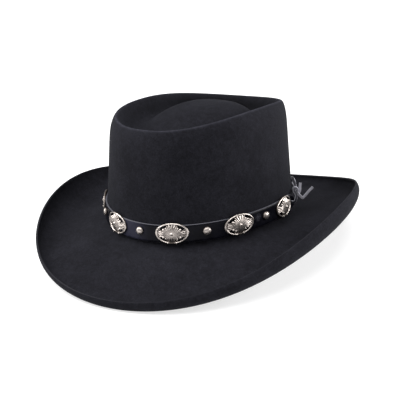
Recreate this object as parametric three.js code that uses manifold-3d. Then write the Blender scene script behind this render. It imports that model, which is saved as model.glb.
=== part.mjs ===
// Gambler hat of wool felt: a telescope crown and a curled brim in one piece of felt,
// a leather hat band with nine pierced conchos and eight studs, and a thong that ties it.
//
// Lengths are in millimetres. The front of the hat faces -Y and the wearer's left is +X.
// The angle round the head starts at the front and grows towards the wearer's left.
// Sizes are set out about the middle of the band, then the hat is set down on its brim.

import * as THREE from 'three';
import Module from 'manifold-3d';

const solids = await Module();
solids.setup();

const DEGREE = Math.PI / 180;
const TURN = 2 * Math.PI;

// Felt
const FELT_WALL = 2.2;
const FELT_COLUMNS = 60;
const REST_FLAT = 1.2;
const REST_STEP = 2 * DEGREE;
const REST_SEARCH = 20;
const REST_PASSES = 4;

// Oval of the head at the band, measured on the outside of the felt
const HEAD_HALF_LENGTH = 101.5;
const HEAD_HALF_WIDTH = 89;

// Lip: the raised ring round the top of the crown
const LIP_HALF_LENGTH = 92;
const LIP_HALF_WIDTH = 71.5;
const LIP_SQUARENESS = 2.3;
const LIP_BACK_SHIFT = 3.3;
const LIP_HEIGHT = { mean: 93.1, front: 0.5, saddle: -4.9, lean: 2.9 };

// Crease inside the lip, and the dome in the middle of it
const CREASE_DEPTH = 19;
const DOME_HEIGHT = 98;

// Brim: plan of the cut edge, its height at the four sides, and its curl
const BRIM_HALF_LENGTH = 174;
const BRIM_HALF_WIDTH = 151.5;
const BRIM_EGG = 0.04;
const EDGE_HEIGHT = { mean: -12.1, front: -12.9, saddle: -21.2, third: 0.9, fourth: 2.15, lean: 4.4, twist: -3 };
const CURL_HEIGHT = { mean: 15, front: -1.5, saddle: -8, fourth: 2.2, lean: 1.2, twist: 1 };
const CURL_REACH = 0.95;
const CURL_BULGE = { mean: 0.08, lean: 0.12 };
const BREAK_RADIUS = 5;

// Hat band: a leather strap that is open at the wearer's left and tied there
const BAND_WIDTH = 16.4;
const BAND_WALL = 1.9;
const BAND_BEVEL = 0.5;
const BAND_DROP = 0.9;
const BAND_SADDLE = 3.1;
const BAND_END = 23.5;
const BAND_LIFT = 3;
const BAND_LIFT_LENGTH = 7.5;
const BAND_SEGMENTS = 58;
const BAND_CLEARANCE = 0.3;
const BAND_TO_BREAK = 2.75;

// Conchos and studs on the strap
const CONCHO_COUNT = 9;
const CONCHO_PITCH = 62.75;
const CENTRE_CONCHO_ARC = 28.3;
const CENTRE_CONCHO = 6;
const METAL_RISE = 1.1;
const CONCHO_HALF_LENGTH = 15.4;
const CONCHO_HALF_HEIGHT = 9.75;
const CONCHO_DOME = 3.1;
const CONCHO_WALL = 0.9;
const CONCHO_COLUMNS = 20;
const STUD_RADIUS = 3.7;
const STUD_HEIGHT = 2.7;
const STUD_COLUMNS = 10;
const METAL_CLEARANCE = 0.3;

// Thong that ties the ends of the strap
const THONG_WIDTH = 2.6;
const THONG_WALL = 1.1;
const THONG_HOLE = 2;
const THONG_HOLE_INSET = 3.4;

// Side of the crown, from the top of the band to the lip.
// up: share of that height; inward: share of the way from the head oval to the lip oval;
// inside: whether the inside of the felt has a row there too
const CROWN_SIDE = [
  { up: 0.0, inward: 0.06, inside: true },
  { up: 0.25, inward: 0.19, inside: false },
  { up: 0.55, inward: 0.35, inside: true },
  { up: 0.82, inward: 0.5, inside: true },
  { up: 0.93, inward: 0.7, inside: true },
  { up: 0.98, inward: 0.87, inside: false },
  { up: 1.0, inward: 1.0, inside: true },
];

// Top of the crown, from the lip to the middle.
// out: share of the lip oval; sink: share of the crease depth; dome: share of the dome height
const CROWN_TOP = [
  { out: 0.97, sink: 0.07, dome: 0, inside: true },
  { out: 0.92, sink: 0.45, dome: 0, inside: true },
  { out: 0.86, sink: 0.88, dome: 0, inside: true },
  { out: 0.775, sink: 1.0, dome: 0, inside: true },
  { out: 0.68, sink: 0.84, dome: 0.1, inside: true },
  { out: 0.55, sink: 0.46, dome: 0.36, inside: true },
  { out: 0.38, sink: 0.15, dome: 0.7, inside: true },
  { out: 0.2, sink: 0.02, dome: 0.93, inside: true },
];

// Brim, from the break at the crown to the valley where the curl starts.
// out: share of the plan width; turn: share of the break radius; fall: share of the drop
const BRIM_FLAT = [
  { out: 0.03, turn: 0.6, fall: 0.0, inside: false },
  { out: 0.1, turn: 0.95, fall: 0.02, inside: true },
  { out: 0.3, turn: 1.0, fall: 0.17, inside: false },
  { out: 0.53, turn: 1.0, fall: 0.5, inside: true },
  { out: 0.78, turn: 1.0, fall: 0.84, inside: true },
  { out: 1.0, turn: 1.0, fall: 1.0, inside: true },
];

// Curl of the brim, from the valley to the cut edge.
// inward: distance in from the edge; up: rise, both as shares of the curl height;
// roll: share of the bulge that stands out past the edge
const BRIM_CURL = [
  { inward: 0.6, up: 0.08, roll: 0.3, inside: true },
  { inward: 0.32, up: 0.23, roll: 0.65, inside: false },
  { inward: 0.12, up: 0.45, roll: 0.95, inside: true },
  { inward: 0.0, up: 0.78, roll: 0.65, inside: true },
  { inward: 0.0, up: 1.0, roll: 0.0, inside: true },
];

// Concho, from its rim to its middle. out: share of the oval; rise: share of the dome
const CONCHO_FACE = [
  { out: 1.0, rise: 0.26 },
  { out: 0.92, rise: 0.46 },
  { out: 0.8, rise: 0.4 },
  { out: 0.42, rise: 0.92 },
  { out: 0.22, rise: 0.96 },
  { out: 0.12, rise: 1.3 },
];
const CONCHO_OPENING_OUT = 2;
const CONCHO_OPENING_IN = 3;
const CONCHO_BOSS_RISE = 1.4;

// Ends of the strap. along: share of half the strap's width; width: share of the full width
const STRAP_END = [
  { along: 0.0, width: 0.3 },
  { along: 0.12, width: 0.5 },
  { along: 0.3, width: 0.72 },
  { along: 0.6, width: 0.92 },
  { along: 1.0, width: 1.0 },
];

// Runs of the thong. along: mm past the end of the strap that the run starts from;
// up: mm above the middle of the band; out: mm from the felt
const THONG_RUNS = {
  near: [
    { along: -THONG_HOLE_INSET, up: 0, out: 1.2 },
    { along: -THONG_HOLE_INSET, up: 0, out: 6 },
    { along: -1, up: 5.2, out: 7.6 },
    { along: 3.5, up: 8.5, out: 4.8 },
    { along: 9, up: 8.7, out: 4.2 },
    { along: 15, up: 7.7, out: 4.2 },
  ],
  tailUp: [
    { along: 15, up: 6.7, out: 5 },
    { along: 16, up: 3.9, out: 7.2 },
    { along: 16, up: 5.2, out: 8.2 },
    { along: 16.5, up: 9.7, out: 8.7 },
    { along: 17, up: 13.9, out: 9.4 },
  ],
  tailOut: [
    { along: 15, up: 5.7, out: 5 },
    { along: 15, up: 1.2, out: 8.5 },
    { along: 15, up: -0.9, out: 11 },
    { along: 15.5, up: 0.3, out: 12.6 },
    { along: 16.5, up: 5.2, out: 17 },
    { along: 17.5, up: 9.7, out: 21.5 },
  ],
  farHigh: [
    { along: -THONG_HOLE_INSET, up: 0, out: 1.2 },
    { along: -THONG_HOLE_INSET, up: 0, out: 6 },
    { along: -1.5, up: 6.7, out: 7 },
    { along: 2.5, up: 12.7, out: 3.4 },
    { along: 14, up: 13.2, out: 2.6 },
    { along: 26, up: 10.2, out: 3.6 },
    { along: 32, up: 7.7, out: 4.2 },
  ],
  farLow: [
    { along: -1, up: 4.2, out: 7.4 },
    { along: 2.5, up: 6.7, out: 4.8 },
    { along: 8, up: 7.1, out: 2.4 },
    { along: 18, up: 5.7, out: 2.6 },
    { along: 30, up: 6.3, out: 4.2 },
  ],
};
const THONG_STEPS = 8;
const JOIN_TOLERANCE = 0.06;
const KNOT = { along: 16, up: 7.2, out: 4.1, loop: 2.3, strand: 1.15 };
const KNOT_TURNS = 2;
const KNOT_LOBES = 3;
const KNOT_STEPS = 20;
const KNOT_SIDES = 4;

// Harmonics round the head of a height or a width
function roundHead(shape, angle) {
  return (
    shape.mean +
    (shape.front ?? 0) * Math.cos(angle) +
    (shape.saddle ?? 0) * Math.cos(2 * angle) +
    (shape.third ?? 0) * Math.cos(3 * angle) +
    (shape.fourth ?? 0) * Math.cos(4 * angle) +
    (shape.lean ?? 0) * Math.sin(angle) +
    (shape.twist ?? 0) * Math.sin(2 * angle)
  );
}

// Point of an oval in plan; a squareness of 2 is an ellipse
function oval(halfLength, halfWidth, squareness, angle) {
  const power = 2 / squareness;
  const across = Math.sign(Math.sin(angle)) * Math.abs(Math.sin(angle)) ** power;
  const along = Math.sign(Math.cos(angle)) * Math.abs(Math.cos(angle)) ** power;
  return new THREE.Vector2(halfWidth * across, -halfLength * along);
}

function headOval(angle) {
  return oval(HEAD_HALF_LENGTH, HEAD_HALF_WIDTH, 2, angle);
}

function lipOval(angle) {
  return oval(LIP_HALF_LENGTH, LIP_HALF_WIDTH, LIP_SQUARENESS, angle);
}

function lipPlan(angle) {
  return lipOval(angle).add(new THREE.Vector2(0, LIP_BACK_SHIFT));
}

function lipHeight(angle) {
  return roundHead(LIP_HEIGHT, angle);
}

function edgePlan(angle) {
  const edge = oval(BRIM_HALF_LENGTH, BRIM_HALF_WIDTH, 2, angle);
  edge.x *= 1 + BRIM_EGG * Math.cos(angle);
  return edge;
}

function bandHeight(angle) {
  return -BAND_DROP - BAND_SADDLE * Math.cos(2 * angle);
}

// Value of a column of a table, at a value of its key column
function lookUp(table, key, column, value) {
  const last = table.length - 1;
  let row = 0;
  while (row < last - 1 && table[row + 1][key] < value) {
    row += 1;
  }
  const span = table[row + 1][key] - table[row][key];
  const share = Math.min(Math.max((value - table[row][key]) / span, 0), 1);
  return table[row][column] + share * (table[row + 1][column] - table[row][column]);
}

// Outside of the crown at an angle and a height above the middle of the band
function crownWall(angle, up) {
  const half = BAND_WIDTH / 2;
  const rise = lipHeight(angle) - bandHeight(angle) - half;
  const leanIn = CROWN_SIDE[0].inward;
  let inward = leanIn * Math.min(Math.max((up + half) / BAND_WIDTH, 0), 1);
  if (up > half) {
    inward = lookUp(CROWN_SIDE, 'up', 'inward', (up - half) / rise);
  }
  const plan = headOval(angle).lerp(lipPlan(angle), inward);
  return new THREE.Vector3(plan.x, plan.y, bandHeight(angle) + up);
}

// Outside of the felt at an angle, from the middle of the crown to the cut edge: where each
// row is, and whether the inside has it too
function feltOutside(angle) {
  const half = BAND_WIDTH / 2;
  const column = [];
  const addRow = (at, inside) => column.push({ at, inside });
  const lip = lipHeight(angle);
  for (const row of CROWN_TOP.slice().reverse()) {
    const plan = lipOval(angle).multiplyScalar(row.out).add(new THREE.Vector2(0, LIP_BACK_SHIFT));
    const height = lip + (DOME_HEIGHT - lip) * row.dome - CREASE_DEPTH * row.sink;
    addRow(new THREE.Vector3(plan.x, plan.y, height), row.inside);
  }
  const rise = lip - bandHeight(angle) - half;
  for (const row of CROWN_SIDE.slice().reverse()) {
    addRow(crownWall(angle, half + rise * row.up), row.inside);
  }
  addRow(crownWall(angle, -half), false);
  addRow(crownWall(angle, -half - BAND_TO_BREAK), true);
  const start = headOval(angle);
  const finish = edgePlan(angle);
  const breakHeight = bandHeight(angle) - half - BAND_TO_BREAK;
  const curl = roundHead(CURL_HEIGHT, angle);
  const bulge = roundHead(CURL_BULGE, angle);
  const valley = roundHead(EDGE_HEIGHT, angle) - curl;
  const drop = breakHeight - BREAK_RADIUS - valley;
  const width = finish.distanceTo(start);
  for (const row of BRIM_FLAT) {
    const plan = start.clone().lerp(finish, row.out * (1 - (CURL_REACH * curl) / width));
    const height = breakHeight - BREAK_RADIUS * row.turn - drop * row.fall;
    addRow(new THREE.Vector3(plan.x, plan.y, height), row.inside);
  }
  for (const row of BRIM_CURL) {
    const plan = finish.clone().lerp(start, ((row.inward - bulge * row.roll) * curl) / width);
    addRow(new THREE.Vector3(plan.x, plan.y, valley + curl * row.up), row.inside);
  }
  return column;
}

// Unit normals of a grid of rows, turned to the outside of the felt
function gridNormals(grid) {
  const columns = grid.length;
  return grid.map((column, c) =>
    column.map((row, r) => {
      const round = grid[(c + 1) % columns][r].at.clone().sub(grid[(c + columns - 1) % columns][r].at);
      const last = column.length - 1;
      const down = column[Math.min(r + 1, last)].at.clone().sub(column[Math.max(r - 1, 0)].at);
      return down.cross(round).normalize();
    })
  );
}

// Closed mesh from a list of points and a list of triangles, faces out
function solidMesh(points, triangles) {
  let volume = 0;
  for (const [a, b, c] of triangles) {
    volume += points[a].dot(points[b].clone().cross(points[c]));
  }
  const order = volume < 0 ? [0, 2, 1] : [0, 1, 2];
  const geometry = new THREE.BufferGeometry();
  geometry.setAttribute('position', new THREE.Float32BufferAttribute(points.flatMap((p) => [p.x, p.y, p.z]), 3));
  geometry.setIndex(triangles.flatMap((face) => order.map((corner) => face[corner])));
  return geometry;
}

// Triangles between two rings of points that start at the indices near and far
function ringFaces(near, far, count, keep = () => true) {
  const faces = [];
  for (let c = 0; c < count; c += 1) {
    const next = (c + 1) % count;
    if (keep(c)) {
      faces.push([near + c, far + c, far + next]);
      faces.push([near + c, far + next, near + next]);
    }
  }
  return faces;
}

// Triangles that close a ring with a middle point
function fanFaces(ring, middle, count) {
  const faces = [];
  for (let c = 0; c < count; c += 1) {
    faces.push([middle, ring + c, ring + ((c + 1) % count)]);
  }
  return faces;
}

// Felt body: outside from the middle of the dome to the cut edge, and back along the inside
function feltBody() {
  const grid = [];
  for (let c = 0; c < FELT_COLUMNS; c += 1) {
    grid.push(feltOutside((c / FELT_COLUMNS) * TURN));
  }
  const normals = gridNormals(grid);
  const rows = grid[0].length;
  const points = [new THREE.Vector3(0, LIP_BACK_SHIFT, DOME_HEIGHT)];
  const addRing = (place) => {
    const start = points.length;
    for (let c = 0; c < FELT_COLUMNS; c += 1) {
      points.push(place(c));
    }
    return start;
  };
  const rings = [];
  for (let r = 0; r < rows; r += 1) {
    rings.push(addRing((c) => grid[c][r].at.clone()));
  }
  rings.push(
    addRing((c) => {
      const outward = edgePlan((c / FELT_COLUMNS) * TURN).normalize();
      const edge = grid[c][rows - 1].at.clone().addScaledVector(normals[c][rows - 1], -FELT_WALL / 2);
      return edge.add(new THREE.Vector3(outward.x, outward.y, 1).setLength(FELT_WALL / 3));
    })
  );
  for (let r = rows - 1; r >= 0; r -= 1) {
    if (grid[0][r].inside) {
      rings.push(addRing((c) => grid[c][r].at.clone().addScaledVector(normals[c][r], -FELT_WALL)));
    }
  }
  const under = points.push(new THREE.Vector3(0, LIP_BACK_SHIFT, DOME_HEIGHT - FELT_WALL)) - 1;
  const faces = fanFaces(rings[0], 0, FELT_COLUMNS);
  for (let r = 0; r < rings.length - 1; r += 1) {
    faces.push(...ringFaces(rings[r], rings[r + 1], FELT_COLUMNS));
  }
  faces.push(...fanFaces(rings[rings.length - 1], under, FELT_COLUMNS).map(([a, b, c]) => [a, c, b]));
  return solidMesh(points, faces);
}

// Lengths along the head oval from the front, for turning an arc length into an angle
const OVAL_STEPS = 1440;
const ovalArcs = [{ arc: 0, angle: 0 }];
for (let step = 1; step <= OVAL_STEPS; step += 1) {
  const angle = (step / OVAL_STEPS) * TURN;
  const before = ovalArcs[step - 1];
  const length = headOval(angle).distanceTo(headOval(before.angle));
  ovalArcs.push({ arc: before.arc + length, angle });
}
const HEAD_GIRTH = ovalArcs[OVAL_STEPS].arc;

function angleAt(arc) {
  const laps = Math.floor(arc / HEAD_GIRTH);
  return lookUp(ovalArcs, 'arc', 'angle', arc - laps * HEAD_GIRTH);
}

// Point at an arc length round the head, a height above the middle of the band and a
// distance out from the felt
function onBand(arc, up, out) {
  const angle = angleAt(arc);
  const side = headOval(angle + DEGREE).sub(headOval(angle - DEGREE)).normalize();
  const wall = crownWall(angle, up);
  return wall.add(new THREE.Vector3(side.y, -side.x, 0).multiplyScalar(out));
}

const OVER_STRAP = BAND_CLEARANCE + BAND_WALL + METAL_CLEARANCE;
const STRAP_END_ARC = CENTRE_CONCHO_ARC + (CONCHO_COUNT - 1 - CENTRE_CONCHO) * CONCHO_PITCH + BAND_END;
const STRAP_START_ARC = CENTRE_CONCHO_ARC - CENTRE_CONCHO * CONCHO_PITCH - BAND_END;

// How far the ends of the strap stand off the felt at an arc length
function endLift(arc) {
  const past = Math.max(arc - STRAP_END_ARC, STRAP_START_ARC - arc) + BAND_LIFT_LENGTH;
  return BAND_LIFT * (Math.max(past, 0) / BAND_LIFT_LENGTH) ** 2;
}

// Manifold solid of a mesh, and back
function toSolid(geometry) {
  return solids.Manifold.ofMesh(
    new solids.Mesh({
      numProp: 3,
      vertProperties: new Float32Array(geometry.getAttribute('position').array),
      triVerts: new Uint32Array(geometry.getIndex().array),
    })
  );
}

function fromSolid(solid) {
  const mesh = solid.getMesh();
  const geometry = new THREE.BufferGeometry();
  geometry.setAttribute('position', new THREE.Float32BufferAttribute(mesh.vertProperties, 3));
  geometry.setIndex(Array.from(mesh.triVerts));
  return geometry;
}

// Strap of the hat band, with rounded ends
function strap() {
  const half = BAND_WIDTH / 2;
  const stations = STRAP_END.map((row) => ({ arc: STRAP_START_ARC + row.along * half, width: row.width }));
  const first = STRAP_START_ARC + half;
  const last = STRAP_END_ARC - half;
  for (let step = 1; step < BAND_SEGMENTS; step += 1) {
    stations.push({ arc: first + ((last - first) * step) / BAND_SEGMENTS, width: 1 });
  }
  for (const row of STRAP_END.slice().reverse()) {
    stations.push({ arc: STRAP_END_ARC - row.along * half, width: row.width });
  }
  const points = [];
  const faces = [];
  for (const { arc, width } of stations) {
    const reach = half * width;
    const inside = BAND_CLEARANCE + endLift(arc);
    const outside = inside + BAND_WALL;
    points.push(onBand(arc, -reach, inside));
    points.push(onBand(arc, -reach, outside - BAND_BEVEL));
    points.push(onBand(arc, -reach + BAND_BEVEL, outside));
    points.push(onBand(arc, reach - BAND_BEVEL, outside));
    points.push(onBand(arc, reach, outside - BAND_BEVEL));
    points.push(onBand(arc, reach, inside));
  }
  const corners = 6;
  for (let s = 0; s < stations.length - 1; s += 1) {
    faces.push(...ringFaces(s * corners, (s + 1) * corners, corners));
  }
  const end = (stations.length - 1) * corners;
  for (let corner = 1; corner < corners - 1; corner += 1) {
    faces.push([0, corner, corner + 1]);
    faces.push([end, end + corner + 1, end + corner]);
  }
  let body = toSolid(solidMesh(points, faces));
  for (const arc of [STRAP_START_ARC + THONG_HOLE_INSET, STRAP_END_ARC - THONG_HOLE_INSET]) {
    body = body.subtract(toSolid(strapHole(arc)));
  }
  return fromSolid(body);
}

// Drill for a thong hole in the strap, across its wall
function strapHole(arc) {
  const from = onBand(arc, 0, 0);
  const to = onBand(arc, 0, BAND_LIFT + 2 * BAND_WALL);
  const drill = new THREE.CylinderGeometry(THONG_HOLE, THONG_HOLE, from.distanceTo(to), 10, 1);
  const turn = new THREE.Quaternion().setFromUnitVectors(
    new THREE.Vector3(0, 1, 0),
    to.clone().sub(from).normalize()
  );
  drill.applyQuaternion(turn);
  const middle = from.add(to).multiplyScalar(0.5);
  drill.translate(middle.x, middle.y, middle.z);
  return weld(drill);
}

// Joins the doubled corners of a mesh
function weld(geometry) {
  const keys = new Map();
  const points = [];
  const position = geometry.getAttribute('position');
  const index = geometry.getIndex();
  const faces = [];
  const join = (corner) => {
    const point = new THREE.Vector3().fromBufferAttribute(position, corner);
    const key = point.toArray().map((value) => value.toFixed(4)).join(' ');
    if (!keys.has(key)) {
      keys.set(key, points.push(point) - 1);
    }
    return keys.get(key);
  };
  for (let i = 0; i < index.count; i += 3) {
    const face = [0, 1, 2].map((corner) => join(index.getX(i + corner)));
    if (new Set(face).size === 3) {
      faces.push(face);
    }
  }
  return solidMesh(points, faces);
}

// Concho: a domed oval shell on the strap, pierced by four openings between its fans
function concho(arc) {
  const count = CONCHO_COLUMNS;
  const quarter = count / 4;
  const points = [];
  const place = (out, rise, column) => {
    const angle = (column / count) * TURN;
    const along = CONCHO_HALF_LENGTH * out * Math.cos(angle);
    const up = CONCHO_HALF_HEIGHT * out * Math.sin(angle);
    return onBand(arc + along, METAL_RISE + up, OVER_STRAP + CONCHO_DOME * rise);
  };
  const addRing = (out, rise) => {
    const start = points.length;
    for (let column = 0; column < count; column += 1) {
      points.push(place(out, rise, column));
    }
    return start;
  };
  const foot = addRing(1, 0);
  const face = CONCHO_FACE.map((row) => addRing(row.out, row.rise));
  const top = points.push(place(0, CONCHO_BOSS_RISE, 0)) - 1;
  const sink = CONCHO_WALL / CONCHO_DOME;
  const outer = CONCHO_FACE[CONCHO_OPENING_OUT];
  const inner = CONCHO_FACE[CONCHO_OPENING_IN];
  const backOuter = addRing(outer.out, outer.rise - sink);
  const backInner = addRing(inner.out, inner.rise - sink);
  const back = points.push(place(0, inner.rise - sink, 0)) - 1;
  const solidAt = (column) => column % quarter === 0 || column % quarter === quarter - 1;
  const faces = ringFaces(foot, face[0], count);
  for (let row = 0; row < face.length - 1; row += 1) {
    const pierced = row === CONCHO_OPENING_OUT;
    faces.push(...ringFaces(face[row], face[row + 1], count, pierced ? solidAt : undefined));
  }
  faces.push(...fanFaces(face[face.length - 1], top, count).map(([a, b, c]) => [a, c, b]));
  faces.push(...ringFaces(backOuter, foot, count));
  faces.push(...ringFaces(backInner, backOuter, count, solidAt));
  faces.push(...fanFaces(backInner, back, count));
  const wall = (a, b, c, d) => {
    faces.push([a, b, c]);
    faces.push([a, c, d]);
  };
  const frontOuter = face[CONCHO_OPENING_OUT];
  const frontInner = face[CONCHO_OPENING_IN];
  for (let column = 0; column < count; column += 1) {
    const next = (column + 1) % count;
    if (!solidAt(column)) {
      wall(frontOuter + column, backOuter + column, backOuter + next, frontOuter + next);
      wall(frontInner + next, backInner + next, backInner + column, frontInner + column);
    }
    if (column % quarter === 1) {
      wall(frontInner + column, backInner + column, backOuter + column, frontOuter + column);
    }
    if (column % quarter === quarter - 1) {
      wall(frontOuter + column, backOuter + column, backInner + column, frontInner + column);
    }
  }
  return solidMesh(points, faces);
}

// Stud: a half round button on the strap
function stud(arc) {
  const count = STUD_COLUMNS;
  const points = [];
  const addRing = (out, rise) => {
    const start = points.length;
    for (let column = 0; column < count; column += 1) {
      const angle = (column / count) * TURN;
      const along = STUD_RADIUS * out * Math.cos(angle);
      const up = STUD_RADIUS * out * Math.sin(angle);
      points.push(onBand(arc + along, METAL_RISE + up, OVER_STRAP + STUD_HEIGHT * rise));
    }
    return start;
  };
  const foot = addRing(1, 0);
  const rim = addRing(1, 0.2);
  const shoulder = addRing(0.78, 0.7);
  const crest = addRing(0.42, 0.94);
  const top = points.push(onBand(arc, METAL_RISE, OVER_STRAP + STUD_HEIGHT)) - 1;
  const back = points.push(onBand(arc, METAL_RISE, OVER_STRAP)) - 1;
  const faces = [
    ...ringFaces(foot, rim, count),
    ...ringFaces(rim, shoulder, count),
    ...ringFaces(shoulder, crest, count),
    ...fanFaces(crest, top, count).map(([a, b, c]) => [a, c, b]),
    ...fanFaces(foot, back, count),
  ];
  return solidMesh(points, faces);
}

// Flat thong swept along a run on the band, its width carried along without a twist
function thongRun(name) {
  const arcAt = (along) => (name.startsWith('far') ? STRAP_START_ARC - along : STRAP_END_ARC + along);
  const stops = THONG_RUNS[name].map((row) => onBand(arcAt(row.along), row.up, row.out));
  const path = new THREE.CatmullRomCurve3(stops);
  const across = new THREE.Vector3(0, 0, 1);
  const points = [];
  const faces = [];
  const corners = [[-1, -1], [1, -1], [1, 1], [-1, 1]];
  for (let step = 0; step <= THONG_STEPS; step += 1) {
    const share = step / THONG_STEPS;
    const place = path.getPointAt(share);
    const tangent = path.getTangentAt(share);
    across.addScaledVector(tangent, -across.dot(tangent)).normalize();
    const over = across.clone().cross(tangent);
    for (const [side, lift] of corners) {
      const corner = place.clone().addScaledVector(across, (side * THONG_WIDTH) / 2);
      points.push(corner.addScaledVector(over, (lift * THONG_WALL) / 2));
    }
  }
  for (let step = 0; step < THONG_STEPS; step += 1) {
    faces.push(...ringFaces(step * corners.length, (step + 1) * corners.length, corners.length));
  }
  const end = THONG_STEPS * corners.length;
  faces.push([0, 1, 2], [0, 2, 3], [end, end + 2, end + 1], [end, end + 3, end + 2]);
  return solidMesh(points, faces);
}

// Thong: both bridges from the strap's ends, the knot, and its two tails, in one piece
function thong() {
  const knot = new THREE.TorusKnotGeometry(
    KNOT.loop,
    KNOT.strand,
    KNOT_STEPS,
    KNOT_SIDES,
    KNOT_TURNS,
    KNOT_LOBES
  );
  const place = onBand(STRAP_END_ARC + KNOT.along, KNOT.up, KNOT.out);
  const outward = new THREE.Vector3(place.x, place.y, 0).normalize();
  knot.applyQuaternion(new THREE.Quaternion().setFromUnitVectors(new THREE.Vector3(0, 0, 1), outward));
  knot.translate(place.x, place.y, place.z);
  let body = toSolid(weld(knot));
  for (const name of Object.keys(THONG_RUNS)) {
    body = body.add(toSolid(thongRun(name)));
  }
  return fromSolid(body.asOriginal().simplify(JOIN_TOLERANCE));
}

const feltBlack = new THREE.MeshStandardMaterial({ name: 'felt', color: 0x2c2d32, roughness: 0.95 });
const leatherBlack = new THREE.MeshStandardMaterial({ name: 'leather', color: 0x17171a, roughness: 0.45 });
const silver = new THREE.MeshStandardMaterial({ name: 'silver', color: 0xb9b4ae, roughness: 0.3, metalness: 1 });
const thongBlack = new THREE.MeshStandardMaterial({ name: 'thong', color: 0x242428, roughness: 0.6 });

const hat = new THREE.Group();
hat.name = 'gambler_hat';

function addPiece(name, geometry, material) {
  const mesh = new THREE.Mesh(geometry, material);
  mesh.name = name;
  hat.add(mesh);
}

addPiece('felt_body', feltBody(), feltBlack);
addPiece('hat_band', strap(), leatherBlack);
for (let i = 0; i < CONCHO_COUNT; i += 1) {
  const arc = CENTRE_CONCHO_ARC + (i - CENTRE_CONCHO) * CONCHO_PITCH;
  addPiece(`concho_${i + 1}`, concho(arc), silver);
}
for (let i = 0; i < CONCHO_COUNT - 1; i += 1) {
  const arc = CENTRE_CONCHO_ARC + (i + 0.5 - CENTRE_CONCHO) * CONCHO_PITCH;
  addPiece(`stud_${i + 1}`, stud(arc), silver);
}
addPiece('tie_thong', thong(), thongBlack);

// Sets the hat down: the lowest places of the front and the back of the brim rest on the
// surface, so the tilt is found again from where they are until both are as low
function lowestNear(angle, tilt) {
  let low = new THREE.Vector3(0, 0, Infinity);
  for (let step = -REST_SEARCH; step <= REST_SEARCH; step += 1) {
    for (const row of feltOutside(angle + step * REST_STEP)) {
      const at = row.at.clone().applyMatrix4(tilt);
      low = at.z < low.z ? at : low;
    }
  }
  return low;
}

let restTilt = 0;
for (let pass = 0; pass < REST_PASSES; pass += 1) {
  const tilt = new THREE.Matrix4().makeRotationX(restTilt);
  const front = lowestNear(0, tilt);
  const back = lowestNear(Math.PI, tilt);
  restTilt += Math.atan2(front.z - back.z, back.y - front.y);
}
const setDown = new THREE.Matrix4().makeRotationX(restTilt);
for (const piece of hat.children) {
  piece.geometry.applyMatrix4(setDown);
}
const felt = hat.children[0].geometry;
felt.computeBoundingBox();
const middle = felt.boundingBox.getCenter(new THREE.Vector3());
const floor = felt.boundingBox.min.z + REST_FLAT;
for (const piece of hat.children) {
  piece.geometry.translate(-middle.x, -middle.y, -floor);
}
const feltPoints = felt.getAttribute('position');
for (let i = 0; i < feltPoints.count; i += 1) {
  feltPoints.setZ(i, Math.max(feltPoints.getZ(i), 0));
}

export default hat;
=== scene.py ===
"""Gambler hat of black wool felt with a leather concho band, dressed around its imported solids.

Lengths are in millimetres until a mesh is finished, and the front of the hat faces -Y.
The angle round the head starts at the front and grows towards the wearer's left, +X.
"""

import math

import bmesh
import bpy
from mathutils import Matrix, Vector, kdtree


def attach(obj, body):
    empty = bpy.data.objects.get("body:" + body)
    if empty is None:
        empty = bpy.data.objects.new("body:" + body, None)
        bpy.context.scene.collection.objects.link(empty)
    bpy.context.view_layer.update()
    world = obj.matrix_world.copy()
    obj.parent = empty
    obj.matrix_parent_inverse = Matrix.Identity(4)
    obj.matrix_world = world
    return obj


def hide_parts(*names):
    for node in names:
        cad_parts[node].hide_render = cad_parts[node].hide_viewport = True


bl_info = {
    "name": "Gambler hat",
    "version": (1, 0, 0),
    "blender": (4, 5, 0),
    "location": "View3D > Sidebar > Hat",
    "description": "Dresses a felt gambler hat with its felt, leather band, conchos, studs and thong",
    "category": "Mesh",
}

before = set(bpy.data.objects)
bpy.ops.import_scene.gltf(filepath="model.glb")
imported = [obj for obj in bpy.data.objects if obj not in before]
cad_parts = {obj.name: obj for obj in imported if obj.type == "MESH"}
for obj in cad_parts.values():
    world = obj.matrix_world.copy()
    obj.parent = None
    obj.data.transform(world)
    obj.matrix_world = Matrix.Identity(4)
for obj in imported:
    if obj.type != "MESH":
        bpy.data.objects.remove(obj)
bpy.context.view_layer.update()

MM = 0.001
TURN = 2 * math.pi

# Head oval at the band, lip oval round the top of the crown, and the crown's own heights
HEAD_HALF_LENGTH = 101.5
HEAD_HALF_WIDTH = 89.0
LIP_HALF_LENGTH = 92.0
LIP_HALF_WIDTH = 71.5
LIP_SQUARENESS = 2.3
LIP_BACK_SHIFT = 3.3
LIP_HEIGHT = {"mean": 93.1, "front": 0.5, "saddle": -4.9, "lean": 2.9}
LIP_ROUND = 2.8
LIP_ROUND_ANGLE = 122.0
LIP_ROUND_SPREAD = 34.0
# Rows of the felt about the lip that are worn round, and each one's share
LIP_ROUND_ROWS = ((-1, 0.7), (0, 1.0), (1, 0.55))
CREASE_DEPTH = 19.0
DOME_HEIGHT = 98.0
DOME_SHIFT = Vector((5.5, 3.0))

# Brim: plan of the cut edge, its height, and the curl
BRIM_HALF_LENGTH = 174.0
BRIM_HALF_WIDTH = 151.5
BRIM_EGG = 0.04
EDGE_HEIGHT = {
    "mean": -12.1,
    "front": -12.9,
    "saddle": -21.2,
    "third": 0.9,
    "fourth": 2.15,
    "lean": 4.4,
    "twist": -3.0,
}
CURL_HEIGHT = {"mean": 15.0, "front": -1.5, "saddle": -8.0, "fourth": 2.2, "lean": 1.2, "twist": 1.0}
CURL_REACH = 0.95
CURL_BULGE = {"mean": 0.08, "lean": 0.12}
BREAK_RADIUS = 5.0

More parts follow.
